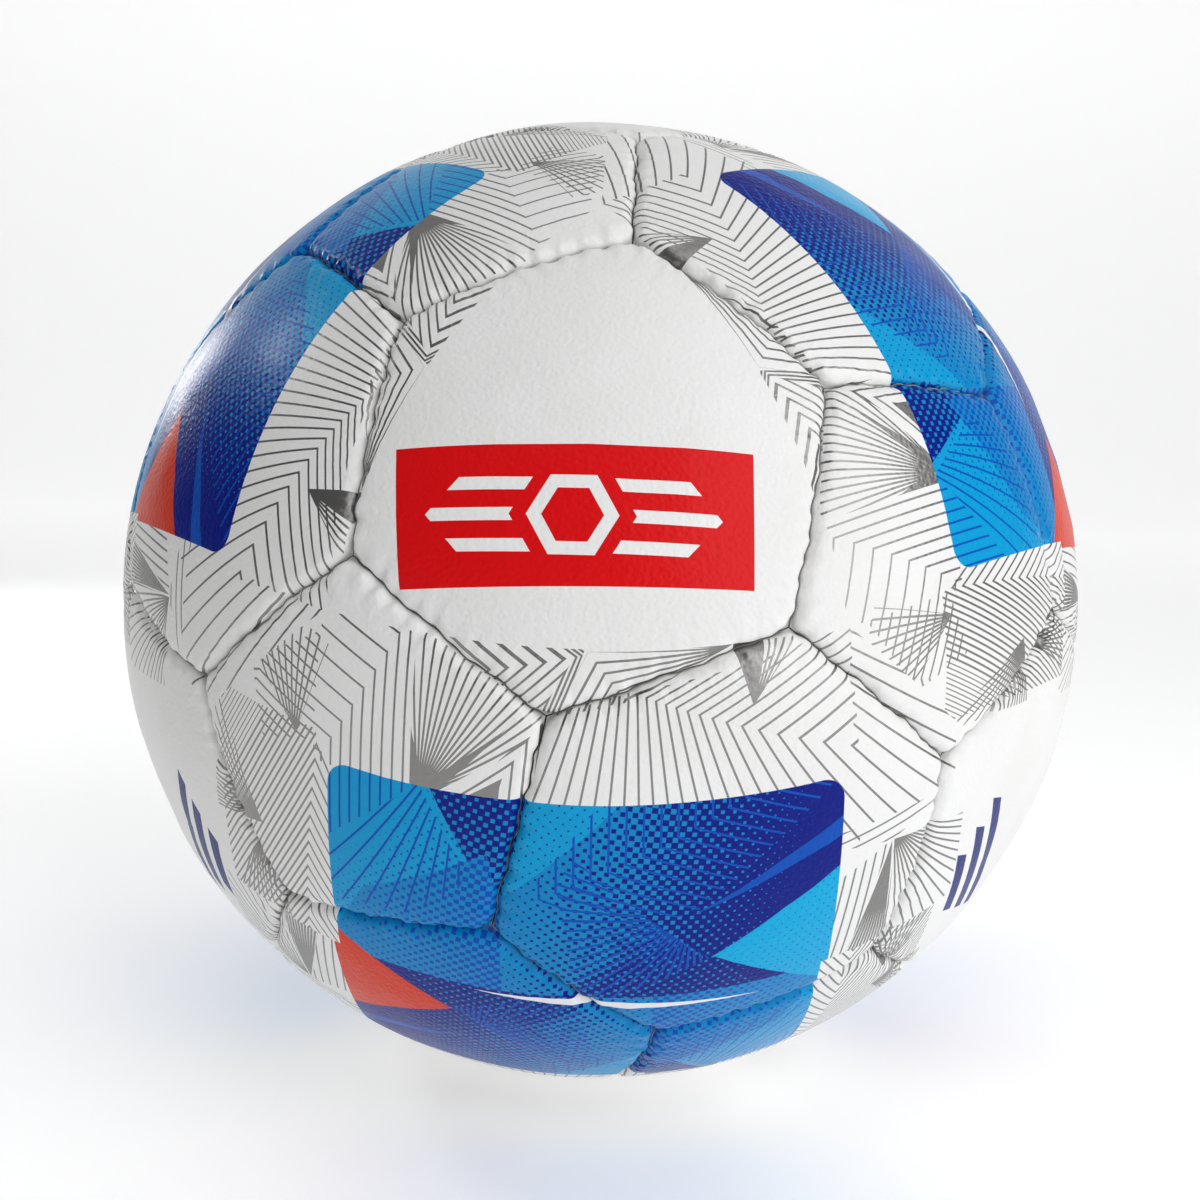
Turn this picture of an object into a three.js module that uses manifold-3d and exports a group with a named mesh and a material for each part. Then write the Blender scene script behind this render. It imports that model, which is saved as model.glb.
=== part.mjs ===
// A hand-stitched football: 20 hexagon and 12 pentagon panels sewn edge to edge round an air
// bladder, with one needle valve. Millimetres. The origin is the ball's centre, +Z runs out
// through the valve, and -Y runs out under the front panel, one of the hexagons.

import * as THREE from "three";
import { mergeVertices } from "three/addons/utils/BufferGeometryUtils.js";
import Module from "manifold-3d";

// ---- Driving dimensions -------------------------------------------------------------------

const BALL_DIAMETER = 220; // over the crowns of the panels
const SEAM_GAP = 0.3; // between the sewn edges of two neighbouring panels
const CONTACT_GAP = 0.3; // between any other two pieces that touch
const COVER_THICKNESS = 3.2; // of a panel: its skin and the lining laminated to its back
const EDGE_ROLL = 2.4; // radius with which a panel rolls over into its seam
const TURN_IN = 3.0; // how far a sewn edge stands in past the lining
const SEWN_EDGE_THICKNESS = 2.2; // of the turned-in edge of a panel
const THREAD_SIZE = 0.9; // across the waxed thread

const BLADDER_WALL = 1.2;
const BLADDER_PATCH_DIAMETER = 44; // rubber disc that reinforces the bladder round the valve
const BLADDER_PATCH_THICKNESS = 0.9;
const PANEL_PATCH_DIAMETER = 32; // cloth disc glued behind the valve panel
const PANEL_PATCH_THICKNESS = 1.1;
const GLUE_GAP = 0.5; // between the valve panel's lining and its patch

const VALVE_HEAD_DIAMETER = 8.4; // the rubber rim seen in the valve panel's hole
const VALVE_RECESS = 0.6; // how far that rim sits below the panel's face
const VALVE_NECK_DIAMETER = 12; // where the valve passes through the bladder
const VALVE_FLANGE_DIAMETER = 28; // bonded to the inside of the bladder
const VALVE_FLANGE_THICKNESS = 2;
const VALVE_STEM_LENGTH = 12; // of the stem below the flange
const VALVE_STEM_DIAMETER = 10;
const CORE_DIAMETER = 4.6; // rubber plug that closes on the needle
const CORE_HEAD_DIAMETER = 6.6; // mushroom end that keeps the plug from blowing out
const CORE_HEAD_LENGTH = 2.4;
const NEEDLE_BORE = 1.2;
const NEEDLE_FUNNEL_DIAMETER = 2.6; // lead-in at the mouth of the bore

const SEAM_STEPS = 2; // straight steps along one side of a panel
const ROLL_STEPS = 2; // steps round the rolled edge
const CAP_RINGS = [0.36, 0.7]; // rings on a panel's crown, as shares of its half-width
const TURNED_STEPS = 24; // sides of each turned piece
const VALVE_DOME_STEPS = 5; // steps of the domed pieces' profiles near the valve
const BLADDER_STEPS = 9; // steps of the bladder's profile from there to its far pole

const WHITE_COVER = { color: 0xefeeec, roughness: 0.42, metalness: 0 };
const WAXED_THREAD = { color: 0x8c8a86, roughness: 0.6, metalness: 0 };
const LATEX = { color: 0xcdb88f, roughness: 0.55, metalness: 0 };
const PATCH_RUBBER = { color: 0x34332f, roughness: 0.7, metalness: 0 };
const PATCH_CLOTH = { color: 0xd8d2c4, roughness: 0.9, metalness: 0 };
const VALVE_RUBBER = { color: 0x26262a, roughness: 0.6, metalness: 0 };
const CORE_RUBBER = { color: 0x5b5a58, roughness: 0.5, metalness: 0 };

// ---- Radii that follow from them ----------------------------------------------------------

const crownRadius = BALL_DIAMETER / 2;
const rollRadius = crownRadius - EDGE_ROLL; // where two panels meet at the foot of their rolls
const liningRadius = crownRadius - COVER_THICKNESS;
const sewnEdgeRadius = liningRadius - TURN_IN; // the inner edge of the seams
const threadRadius = (rollRadius + sewnEdgeRadius) / 2; // the stitch line, midway down the seam
const channelHalfHeight = THREAD_SIZE / 2 + CONTACT_GAP;
const channelInset = THREAD_SIZE / 2 + CONTACT_GAP;

const panelPatchRadius = liningRadius - GLUE_GAP; // outer face of the cloth patch
const bladderPatchRadius = panelPatchRadius - PANEL_PATCH_THICKNESS - CONTACT_GAP;
// The straight steps of the sewn edges come nearest to the centre at their middles.
const sideAngle = 2 * Math.asin(2 / Math.sqrt(58 + 18 * Math.sqrt(5)));
const sewnEdgeFlats = sewnEdgeRadius * Math.cos(sideAngle / SEAM_STEPS / 2);
const bladderRadius = Math.min(
  sewnEdgeFlats - CONTACT_GAP,
  bladderPatchRadius - BLADDER_PATCH_THICKNESS - CONTACT_GAP,
);
const bladderInnerRadius = bladderRadius - BLADDER_WALL;

const neckClearRadius = VALVE_NECK_DIAMETER / 2 + CONTACT_GAP;
const headClearRadius = VALVE_HEAD_DIAMETER / 2 + CONTACT_GAP;
const coreClearRadius = CORE_DIAMETER / 2 + CONTACT_GAP;

// ---- Layout of the panels -----------------------------------------------------------------

// The 12 pentagon centres are the corners of an icosahedron that stands on one face: four
// rings of three round Z, each ring half a step on from the last. A hexagon's centre lies
// over each of its faces, the first on +Z.
function pentagonCentres() {
  const nearPole = Math.sqrt((5 + 2 * Math.sqrt(5)) / 15);
  const nearEquator = Math.sqrt((5 - 2 * Math.sqrt(5)) / 15);
  const rings = [
    { height: nearPole, turn: 0 },
    { height: nearEquator, turn: Math.PI / 3 },
    { height: -nearEquator, turn: 0 },
    { height: -nearPole, turn: Math.PI / 3 },
  ];
  const centres = rings.flatMap(({ height, turn }) =>
    [0, 1, 2].map((third) => {
      const azimuth = turn + (third * 2 * Math.PI) / 3;
      const reach = Math.sqrt(1 - height * height);
      return new THREE.Vector3(reach * Math.cos(azimuth), reach * Math.sin(azimuth), height);
    }),
  );
  const [upperLeft, upperRight, below] = [centres[0], centres[3], centres[6]];
  const front = upperLeft.clone().add(upperRight).add(below); // the front panel's centre line
  const turnToFront = -Math.PI / 2 - Math.atan2(front.y, front.x);
  const upward = new THREE.Vector3(0, 0, 1);
  return centres.map((centre) => centre.applyAxisAngle(upward, turnToFront));
}

// A panel is { centre, corners, keys, hexagon }: unit directions, anticlockwise from outside.
// A corner's key names the icosahedron edge that it lies on, and the end that it is near.
function layOutPanels() {
  const pentagons = pentagonCentres();
  const adjacent = (a, b) => Math.abs(pentagons[a].dot(pentagons[b]) - Math.sqrt(0.2)) < 0.01;
  const cornerNear = (a, b) =>
    pentagons[a].clone().multiplyScalar(2).add(pentagons[b]).normalize();
  const panel = (centre, ends, hexagon) => {
    const east = cornerNear(...ends[0]).projectOnPlane(centre).normalize();
    const north = centre.clone().cross(east);
    const corners = ends.map(([a, b]) => ({ key: `${a}-${b}`, at: cornerNear(a, b) }));
    const angle = ({ at }) => Math.atan2(at.dot(north), at.dot(east) + 1e-9);
    corners.sort((p, q) => angle(p) - angle(q));
    return {
      centre,
      corners: corners.map(({ at }) => at),
      keys: corners.map(({ key }) => key),
      hexagon,
    };
  };

  const panels = [];
  pentagons.forEach((centre, a) => {
    const neighbours = pentagons.map((_, b) => b).filter((b) => adjacent(a, b));
    panels.push(panel(centre, neighbours.map((b) => [a, b]), false));
  });
  for (let a = 0; a < 12; a++) {
    for (let b = a + 1; b < 12; b++) {
      for (let c = b + 1; c < 12; c++) {
        if (!adjacent(a, b) || !adjacent(b, c) || !adjacent(a, c)) continue;
        const centre = pentagons[a].clone().add(pentagons[b]).add(pentagons[c]).normalize();
        const ends = [[a, b], [b, a], [b, c], [c, b], [c, a], [a, c]];
        panels.push(panel(centre, ends, true));
      }
    }
  }
  const azimuth = ({ centre }) => (Math.atan2(centre.x, -centre.y) + 2 * Math.PI) % (2 * Math.PI);
  const nearPole = ({ centre }) => Math.hypot(centre.x, centre.y) < 1e-6;
  const order = (p) => -Math.round(p.centre.z * 1000) + (nearPole(p) ? 0 : azimuth(p) / 10);
  return panels.sort((p, q) => order(p) - order(q));
}

// The seam plane beside corner i of a panel, from corner i to the next; its normal points in.
function seamNormal(panel, i) {
  const count = panel.corners.length;
  const start = panel.corners[(i + count) % count];
  const end = panel.corners[(i + 1) % count];
  return start.clone().cross(end).normalize();
}

// A panel's outline on the sphere of a radius, set in from its seam planes by inset.
function outline(panel, radius, inset) {
  const count = panel.corners.length;
  const corner = (i) => {
    const before = seamNormal(panel, i - 1);
    const after = seamNormal(panel, i);
    const foot = before.clone().add(after).multiplyScalar(inset / (1 + before.dot(after)));
    const along = before.clone().cross(after).normalize();
    const height = Math.sqrt(radius * radius - foot.lengthSq());
    return foot.addScaledVector(along, height * Math.sign(along.dot(panel.centre)));
  };
  const points = [];
  for (let i = 0; i < count; i++) {
    const hub = seamNormal(panel, i).multiplyScalar(inset);
    const start = corner(i).sub(hub);
    const end = corner((i + 1) % count).sub(hub);
    const angle = start.angleTo(end);
    for (let step = 0; step < SEAM_STEPS; step++) {
      const t = step / SEAM_STEPS;
      const point = start.clone().multiplyScalar(Math.sin((1 - t) * angle));
      point.addScaledVector(end, Math.sin(t * angle)).divideScalar(Math.sin(angle));
      points.push(point.add(hub));
    }
  }
  return points;
}

// ---- Making meshes ------------------------------------------------------------------------

class Facets {
  constructor() {
    this.positions = [];
  }
  triangle(a, b, c) {
    for (const point of [a, b, c]) this.positions.push(point.x, point.y, point.z);
  }
  quad(a, b, c, d) {
    this.triangle(a, b, c);
    this.triangle(a, c, d);
  }
  // Joins two rings of as many points; the first ring lies to the left of the walk from
  // outside, as a panel's inner rings do.
  band(inner, outer) {
    inner.forEach((point, i) => {
      const next = (i + 1) % inner.length;
      this.quad(point, outer[i], outer[next], inner[next]);
    });
  }
  geometry() {
    const attribute = new THREE.Float32BufferAttribute(this.positions, 3);
    const geometry = mergeVertices(new THREE.BufferGeometry().setAttribute("position", attribute));
    geometry.computeVertexNormals();
    return geometry;
  }
}

// A body of revolution about Z from a profile of [radius, height] pairs.
function turned(profile) {
  const points = profile.map(([radius, height]) => new THREE.Vector2(radius, height));
  const geometry = new THREE.LatheGeometry(points, TURNED_STEPS).rotateX(Math.PI / 2);
  return positionsOnly(geometry);
}

function positionsOnly(geometry) {
  geometry.deleteAttribute("normal");
  geometry.deleteAttribute("uv");
  const merged = mergeVertices(geometry, 1e-4);
  merged.computeVertexNormals();
  return merged;
}

const wasm = await Module();
wasm.setup();

function solidOf(geometry) {
  const bare = positionsOnly(geometry.clone());
  return new wasm.Manifold(
    new wasm.Mesh({
      numProp: 3,
      vertProperties: bare.attributes.position.array,
      triVerts: new Uint32Array(bare.index.array),
    }),
  );
}

function cut(geometry, tool) {
  const mesh = solidOf(geometry).subtract(solidOf(tool)).getMesh();
  const result = new THREE.BufferGeometry();
  result.setAttribute("position", new THREE.BufferAttribute(mesh.vertProperties, 3));
  result.setIndex(new THREE.BufferAttribute(mesh.triVerts, 1));
  result.computeVertexNormals();
  return result;
}

// ---- Panels -------------------------------------------------------------------------------

// A panel is a domed tray: its crown rolls over into the seam, turns in as the sewn edge, with
// a channel for the thread, and comes back up inside to the lining.
function panelGeometry(panel) {
  const facets = new Facets();
  const edge = SEAM_GAP / 2;
  const capRing = (rim, share, radius) =>
    rim.map((point) =>
      panel.centre.clone().lerp(point.clone().normalize(), share).setLength(radius),
    );

  const roll = [];
  for (let step = 0; step <= ROLL_STEPS; step++) {
    const turn = ((step / ROLL_STEPS) * Math.PI) / 2;
    const inset = edge + EDGE_ROLL * (1 - Math.sin(turn));
    roll.push(outline(panel, rollRadius + EDGE_ROLL * Math.cos(turn), inset));
  }
  const section = [
    ...roll,
    outline(panel, threadRadius + channelHalfHeight, edge),
    outline(panel, threadRadius + channelHalfHeight, channelInset),
    outline(panel, threadRadius - channelHalfHeight, channelInset),
    outline(panel, threadRadius - channelHalfHeight, edge),
    outline(panel, sewnEdgeRadius, edge),
    outline(panel, sewnEdgeRadius, edge + SEWN_EDGE_THICKNESS),
    outline(panel, liningRadius, edge + SEWN_EDGE_THICKNESS),
  ];
  const crown = CAP_RINGS.map((share) => capRing(section[0], share, crownRadius));
  const liningRim = section[section.length - 1];
  const lining = CAP_RINGS.map((share) => capRing(liningRim, share, liningRadius)).reverse();
  const rings = [...crown, ...section, ...lining];
  for (let i = 1; i < rings.length; i++) facets.band(rings[i - 1], rings[i]);

  const crownPole = panel.centre.clone().setLength(crownRadius);
  const liningPole = panel.centre.clone().setLength(liningRadius);
  const [first, last] = [rings[0], rings[rings.length - 1]];
  first.forEach((point, i) => {
    const next = (i + 1) % first.length;
    facets.triangle(crownPole, point, first[next]);
    facets.triangle(liningPole, last[next], last[i]);
  });
  return facets.geometry();
}

// The valve shows in a round hole through the middle of its panel.
function valvePanelGeometry(panel) {
  const length = 4 * COVER_THICKNESS;
  const drill = new THREE.CylinderGeometry(headClearRadius, headClearRadius, length, TURNED_STEPS);
  drill.rotateX(Math.PI / 2).translate(0, 0, crownRadius - COVER_THICKNESS / 2);
  return cut(panelGeometry(panel), drill);
}

// ---- Stitching ----------------------------------------------------------------------------

// The ball is sewn as two halves, and a zigzag closing seam joins them. Each of the three
// threads follows its seams in their channels and branches where three panels meet.
function stitchingGeometry(panels, thread) {
  const facets = new Facets();
  const half = (panel) => (panel.centre.z > 0 ? "valve_half" : "far_half");
  const outlines = panels.map((panel) => ({
    top: outline(panel, threadRadius + THREAD_SIZE / 2, THREAD_SIZE / 2),
    bottom: outline(panel, threadRadius - THREAD_SIZE / 2, THREAD_SIZE / 2),
  }));
  const around = (key) =>
    panels.map((_, index) => index).filter((index) => panels[index].keys.includes(key));
  const threadOf = (indices) => {
    const halves = new Set(indices.map((index) => half(panels[index])));
    return halves.size > 1 ? "closing_seam" : [...halves][0];
  };
  // The thread's two points beside a panel, at a step along one of its sides.
  const beside = (index, side, step) => {
    const { top, bottom } = outlines[index];
    const at = (side * SEAM_STEPS + step) % top.length;
    return { top: top[at], bottom: bottom[at] };
  };
  const sectionBetween = (left, right) => [left.top, left.bottom, right.bottom, right.top];

  panels.forEach((panel, left) => {
    panel.keys.forEach((key, side) => {
      const nextKey = panel.keys[(side + 1) % panel.keys.length];
      const right = around(key).find((i) => i !== left && panels[i].keys.includes(nextKey));
      const isThisThread = threadOf([left, right]) === thread;
      if (left > right || !isThisThread) return;
      const rightSide = panels[right].keys.indexOf(nextKey);
      const sections = [];
      for (let step = 0; step <= SEAM_STEPS; step++) {
        const rightStep = SEAM_STEPS - step;
        sections.push(sectionBetween(beside(left, side, step), beside(right, rightSide, rightStep)));
      }
      // A branch that meets another thread stops one gap short of it.
      const shorten = (end, neighbour) =>
        end.map((point, i) => {
          const share = CONTACT_GAP / point.distanceTo(neighbour[i]);
          return point.clone().lerp(neighbour[i], share);
        });
      const joinsStart = threadOf(around(key)) === thread;
      const joinsEnd = threadOf(around(nextKey)) === thread;
      const last = SEAM_STEPS;
      if (!joinsStart) sections[0] = shorten(sections[0], sections[1]);
      if (!joinsEnd) sections[last] = shorten(sections[last], sections[last - 1]);
      for (let step = 1; step <= SEAM_STEPS; step++) facets.band(sections[step - 1], sections[step]);
      if (!joinsStart) facets.quad(...sections[0]);
      if (!joinsEnd) facets.quad(...sections[last].toReversed());
    });
  });

  for (const key of new Set(panels.flatMap((panel) => panel.keys))) {
    const meeting = around(key);
    if (threadOf(meeting) !== thread) continue;
    // Panels in the order in which each one's side leads away from the corner to the next.
    const leadsTo = (index) => {
      const { keys } = panels[index];
      const ahead = keys[(keys.indexOf(key) + 1) % keys.length];
      return meeting.find((i) => i !== index && panels[i].keys.includes(ahead));
    };
    const order = [meeting[0], leadsTo(meeting[0]), leadsTo(leadsTo(meeting[0]))];
    const points = order.map((index) => beside(index, panels[index].keys.indexOf(key), 0));
    facets.triangle(points[0].top, points[2].top, points[1].top);
    facets.triangle(points[0].bottom, points[1].bottom, points[2].bottom);
    order.forEach((index, i) => {
      const other = (i + 1) % order.length;
      if (threadOf([index, order[other]]) === thread) return;
      const [here, there] = [points[i], points[other]];
      facets.quad(here.top, there.top, there.bottom, here.bottom);
    });
  }
  return facets.geometry();
}

// ---- Bladder, valve and patches -----------------------------------------------------------

const heightAt = (sphereRadius, radius) =>
  Math.sqrt(sphereRadius * sphereRadius - radius * radius);

// Points of a spherical profile between two distances from the axis.
function dome(sphereRadius, from, to) {
  const [start, end] = [Math.asin(from / sphereRadius), Math.asin(to / sphereRadius)];
  return Array.from({ length: VALVE_DOME_STEPS + 1 }, (_, i) => {
    const angle = start + ((end - start) * i) / VALVE_DOME_STEPS;
    return [sphereRadius * Math.sin(angle), sphereRadius * Math.cos(angle)];
  });
}

function domedWasher(outerRadius, thickness, hole, rim) {
  const outside = dome(outerRadius, rim, hole);
  const inside = dome(outerRadius - thickness, hole, rim);
  return turned([...outside, ...inside, outside[0]]);
}

function bladderGeometry() {
  const rim = BLADDER_PATCH_DIAMETER / 2 + VALVE_FLANGE_THICKNESS;
  const fromFarPole = (sphereRadius) => {
    const start = Math.asin(rim / sphereRadius);
    return Array.from({ length: BLADDER_STEPS }, (_, i) => {
      const angle = Math.PI - ((Math.PI - start) * i) / BLADDER_STEPS;
      return [i === 0 ? 0 : sphereRadius * Math.sin(angle), sphereRadius * Math.cos(angle)];
    });
  };
  const wall = (sphereRadius) => [
    ...fromFarPole(sphereRadius),
    ...dome(sphereRadius, rim, neckClearRadius),
  ];
  return turned([...wall(bladderRadius), ...wall(bladderInnerRadius).toReversed()]);
}

// The valve's seat from the panel's face down: rim, neck, flange under the bladder, stem.
function valveHousingGeometry() {
  const head = VALVE_HEAD_DIAMETER / 2;
  const neck = VALVE_NECK_DIAMETER / 2;
  const flange = VALVE_FLANGE_DIAMETER / 2;
  const stem = VALVE_STEM_DIAMETER / 2;
  const top = crownRadius - VALVE_RECESS;
  const shoulder = heightAt(panelPatchRadius, neck);
  const flangeFace = bladderInnerRadius - CONTACT_GAP;
  const flangeUnderside = heightAt(flangeFace, flange) - VALVE_FLANGE_THICKNESS;
  const stemEnd = flangeUnderside - VALVE_STEM_LENGTH;
  const pocket = stemEnd + CORE_HEAD_LENGTH;
  const pocketRadius = CORE_HEAD_DIAMETER / 2 + CONTACT_GAP;
  return turned([
    [coreClearRadius, top],
    [coreClearRadius, pocket],
    [pocketRadius, pocket],
    [pocketRadius, stemEnd],
    [stem, stemEnd],
    [stem, flangeUnderside],
    [flange, flangeUnderside],
    [flange, heightAt(flangeFace, flange)],
    [neck, heightAt(flangeFace, neck)],
    [neck, shoulder],
    [head, shoulder],
    [head, top],
    [coreClearRadius, top],
  ]);
}

// The plug in the valve: a pin with a mushroom end, bored for the needle.
function valveCoreGeometry() {
  const pin = CORE_DIAMETER / 2;
  const bore = NEEDLE_BORE / 2;
  const funnel = NEEDLE_FUNNEL_DIAMETER / 2;
  const top = crownRadius - VALVE_RECESS - CONTACT_GAP;
  const flangeFace = bladderInnerRadius - CONTACT_GAP;
  const flangeUnderside =
    heightAt(flangeFace, VALVE_FLANGE_DIAMETER / 2) - VALVE_FLANGE_THICKNESS;
  const end = flangeUnderside - VALVE_STEM_LENGTH;
  const headFace = end + CORE_HEAD_LENGTH - CONTACT_GAP;
  return turned([
    [bore, top - (funnel - bore)],
    [bore, end],
    [CORE_HEAD_DIAMETER / 2, end],
    [CORE_HEAD_DIAMETER / 2, headFace],
    [pin, headFace],
    [pin, top],
    [funnel, top],
    [bore, top - (funnel - bore)],
  ]);
}

// ---- The ball -----------------------------------------------------------------------------

const ball = new THREE.Group();

function add(name, geometry, finish) {
  const mesh = new THREE.Mesh(geometry, new THREE.MeshStandardMaterial(finish));
  mesh.name = name;
  ball.add(mesh);
}

const twoDigits = (number) => String(number).padStart(2, "0");
const panels = layOutPanels();
const [valvePanel, ...otherPanels] = panels;
add("valve_panel", valvePanelGeometry(valvePanel), WHITE_COVER);
for (const [kind, hexagon] of [["hexagon_panel", true], ["pentagon_panel", false]]) {
  otherPanels
    .filter((panel) => panel.hexagon === hexagon)
    .forEach((panel, i) => {
      add(`${kind}_${twoDigits(i + 1)}`, panelGeometry(panel), WHITE_COVER);
    });
}
for (const thread of ["valve_half", "far_half", "closing_seam"]) {
  add(`stitching_${thread}`, stitchingGeometry(panels, thread), WAXED_THREAD);
}
add("bladder", bladderGeometry(), LATEX);
add(
  "bladder_patch",
  domedWasher(
    bladderRadius + CONTACT_GAP + BLADDER_PATCH_THICKNESS,
    BLADDER_PATCH_THICKNESS,
    neckClearRadius,
    BLADDER_PATCH_DIAMETER / 2,
  ),
  PATCH_RUBBER,
);
add(
  "panel_patch",
  domedWasher(
    panelPatchRadius,
    PANEL_PATCH_THICKNESS,
    neckClearRadius,
    PANEL_PATCH_DIAMETER / 2,
  ),
  PATCH_CLOTH,
);
add("valve_housing", valveHousingGeometry(), VALVE_RUBBER);
add("valve_core", valveCoreGeometry(), CORE_RUBBER);

export default ball;
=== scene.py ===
import functools
import math
import bpy
import numpy as np
from mathutils import Matrix, Vector


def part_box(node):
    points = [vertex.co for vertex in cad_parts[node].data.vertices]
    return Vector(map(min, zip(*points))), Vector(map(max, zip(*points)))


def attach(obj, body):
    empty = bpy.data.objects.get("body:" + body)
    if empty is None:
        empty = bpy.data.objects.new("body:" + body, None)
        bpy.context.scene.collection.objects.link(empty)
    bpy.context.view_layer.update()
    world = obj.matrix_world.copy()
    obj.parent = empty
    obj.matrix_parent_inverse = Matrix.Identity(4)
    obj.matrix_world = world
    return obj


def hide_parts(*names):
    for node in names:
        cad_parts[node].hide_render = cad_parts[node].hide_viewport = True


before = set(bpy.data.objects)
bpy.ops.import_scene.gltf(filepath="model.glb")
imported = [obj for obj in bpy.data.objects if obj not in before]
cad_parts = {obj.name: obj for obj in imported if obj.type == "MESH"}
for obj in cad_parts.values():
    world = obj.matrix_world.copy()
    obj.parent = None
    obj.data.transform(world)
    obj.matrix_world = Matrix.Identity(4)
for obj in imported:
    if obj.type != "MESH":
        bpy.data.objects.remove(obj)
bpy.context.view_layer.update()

# ---- Sizes. Lengths are millimetres until a mesh is made; the ball's own size comes from the frame. ----
MM = 0.001
BALL = max(v.co.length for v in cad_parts["hexagon_panel_01"].data.vertices) / MM

SEAM_GAP = 0.3            # between two sewn edges
ROLL_WIDTH = 2.3          # how far from a seam the cover starts to roll down
ROLL_DEPTH = 2.0
VALLEY_DEPTH = 0.45       # the broad dip that the pull of the thread leaves
VALLEY_WIDTH = 5.0
CORNER_SOFTNESS = 1.1     # how much two rolls melt into each other at a panel's corner
STITCH_PITCH = 4.3
SEAM_SWING = 0.16         # the seam line's side-to-side swing
STITCH_SHARE, DRIFT_SHARE = 0.7, 1.6    # how much of that swing each stitch and the slow drift give
PUCKER_DEPTH = 0.4
PUCKER_REACH = 1.8
CORNER_FADE = 5.0         # from a panel's corner to where the stitches pull in full
WRINKLE_DEPTH = 0.27      # short creases square to the seam
WRINKLE_REACH = 3.2
WRINKLE_WAVES = 7
WRINKLE_SUM = 3.2         # what brings the sum of the waves back to about 1
DENT_DEPTH = 0.16         # slow unevenness of the whole cover
DENT_WAVES = 14
DENT_SUM = 4.5            # the same for the dents
SEAM_SHARP_DEGREES = 60
TURNED_SHARP_DEGREES = 45
FLANK_DEPTH = 4.0
FLANGE_DEPTH = 6.2        # foot of the turned-in edge, below the outside of the ball
FLANGE_THICKNESS = 2.2
COVER_THICKNESS = 3.2
VALVE_HOLE = 4.5          # radius of the hole in the valve panel

SIDE_STEPS = 64           # steps along one side of a panel, next to the seam
# Distances of the face's rings from the seam, with how many steps each has along a side.
FACE_RINGS = (
    [(inset, SIDE_STEPS) for inset in (0.15, 0.22, 0.36, 0.58, 0.88, 1.26, 1.72, 2.26, 2.9, 3.7, 4.7)]
    + [(inset, SIDE_STEPS // 2) for inset in (5.9, 7.3, 8.9)]
    + [(inset, SIDE_STEPS // 4) for inset in (11.0, 13.6, 16.8)]
    + [(inset, SIDE_STEPS // 8) for inset in (20.6, 24.6)]
)
LINING_RINGS = ((6.0, SIDE_STEPS // 4), (14.0, SIDE_STEPS // 8), (24.0, SIDE_STEPS // 8))
HOLE_RINGS = 4

# ---- The ball's layout ----


def unit(v):
    return v / np.linalg.norm(v)


def unit_rows(points):
    return points / np.linalg.norm(points, axis=1)[:, None]


def node_direction(name):
    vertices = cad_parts[name].data.vertices
    return unit(np.mean([np.array(v.co) for v in vertices], axis=0))


def panel_names():
    kinds = ("hexagon_panel", "pentagon_panel", "valve_panel")
    return [name for name in sorted(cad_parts) if name.startswith(kinds)]


def ball_corners():
    """The 60 corners of the seams: a third of the way from each pentagon's middle to the next one's."""
    middles = [node_direction(n) for n in panel_names() if n.startswith("pentagon")]
    corners = []
    for a in middles:
        around = sorted(middles, key=lambda b: -a @ b)[1:6]
        corners += [unit(2 * a + b) for b in around]
    return corners


def side_axes(middle):
    """Two directions square to middle and to each other, counter-clockwise seen from outside."""
    up = np.array([0, 0, 1.0]) if abs(middle[2]) < 0.9 else np.array([0, 1.0, 0])
    right = unit(np.cross(up, middle))
    return right, np.cross(middle, right)


def panel_corners(middle, sides, corners):
    """Numbers of the panel's own corners, counter-clockwise seen from outside."""
    near = sorted(range(len(corners)), key=lambda i: -corners[i] @ middle)[:sides]
    right, up = side_axes(middle)
    return sorted(near, key=lambda i: math.atan2(corners[i] @ up, corners[i] @ right))


class Seam:
    """One sewn side, shared by two panels, with the irregular pull of its own stitches."""

    def __init__(self, start, end, seed):
        self.middle = unit(start + end)
        self.normal = unit(np.cross(start, end))
        self.along = np.cross(self.normal, self.middle)
        self.half_length = BALL * math.acos(start @ end) / 2
        random = np.random.default_rng(seed)
        self.stitch_phase = random.uniform(0, 2 * math.pi)
        self.wave_length = random.uniform(1.7, 6.0, WRINKLE_WAVES)
        self.wave_phase = random.uniform(0, 2 * math.pi, WRINKLE_WAVES)
        self.wave_lean = random.uniform(-0.5, 0.5, WRINKLE_WAVES)
        self.drift_length = random.uniform(9, 16)

    def stitches(self, along):
        irregular = 0.9 * np.sin(along / 6 + self.stitch_phase)
        return 2 * math.pi * along / STITCH_PITCH + self.stitch_phase + irregular

    def creases(self, along, away):
        """Uneven waves from -1 to 1, almost square to the seam."""
        total = np.zeros_like(along)
        for length, phase, lean in zip(self.wave_length, self.wave_phase, self.wave_lean):
            total += np.sin(2 * math.pi * (along + lean * away) / length + phase)
        return total / WRINKLE_SUM


def unevenness(points, seed=11):
    """Slow dents over the whole ball, from -1 to 1."""
    random = np.random.default_rng(seed)
    total = np.zeros(len(points))
    for wave in range(DENT_WAVES):
        direction = unit(random.normal(size=3))
        total += np.sin(points @ direction * random.uniform(9, 26) + random.uniform(0, 2 * math.pi))
    return total / DENT_SUM


# ---- A panel's surface ----


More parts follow.
